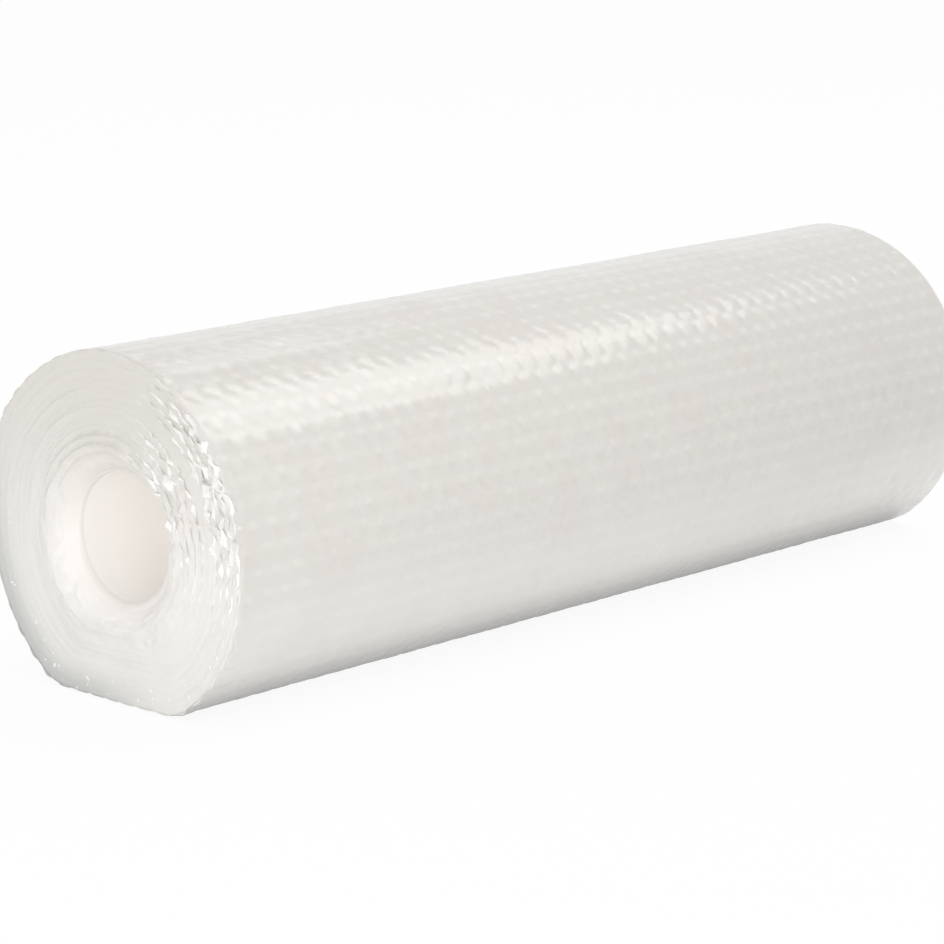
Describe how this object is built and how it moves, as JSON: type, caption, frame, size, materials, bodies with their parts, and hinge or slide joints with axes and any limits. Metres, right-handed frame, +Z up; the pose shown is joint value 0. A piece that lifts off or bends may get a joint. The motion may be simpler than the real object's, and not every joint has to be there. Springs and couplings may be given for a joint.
{
  "type": "bubble wrap roll",
  "caption": "Coreless roll of clear bubble wrap lying on its side, wound with the flat film outside, with a sunken mouth at one end and an open core.",
  "frame": {"origin": "centre of the roll's outline, on the ground under its flat spot", "axes": "+X along the roll, away from the end with the sunken mouth; +Z up"},
  "size_m": [0.512, 0.1618, 0.1502],
  "materials": {
    "bubble_film": "hazy clear polyethylene film, milky where turns lie over each other, glossy on the bubbles"
  },
  "bodies": {
    "root": {"bubble_wrap_roll": "bubble_film"}
  },
  "joints": []
}
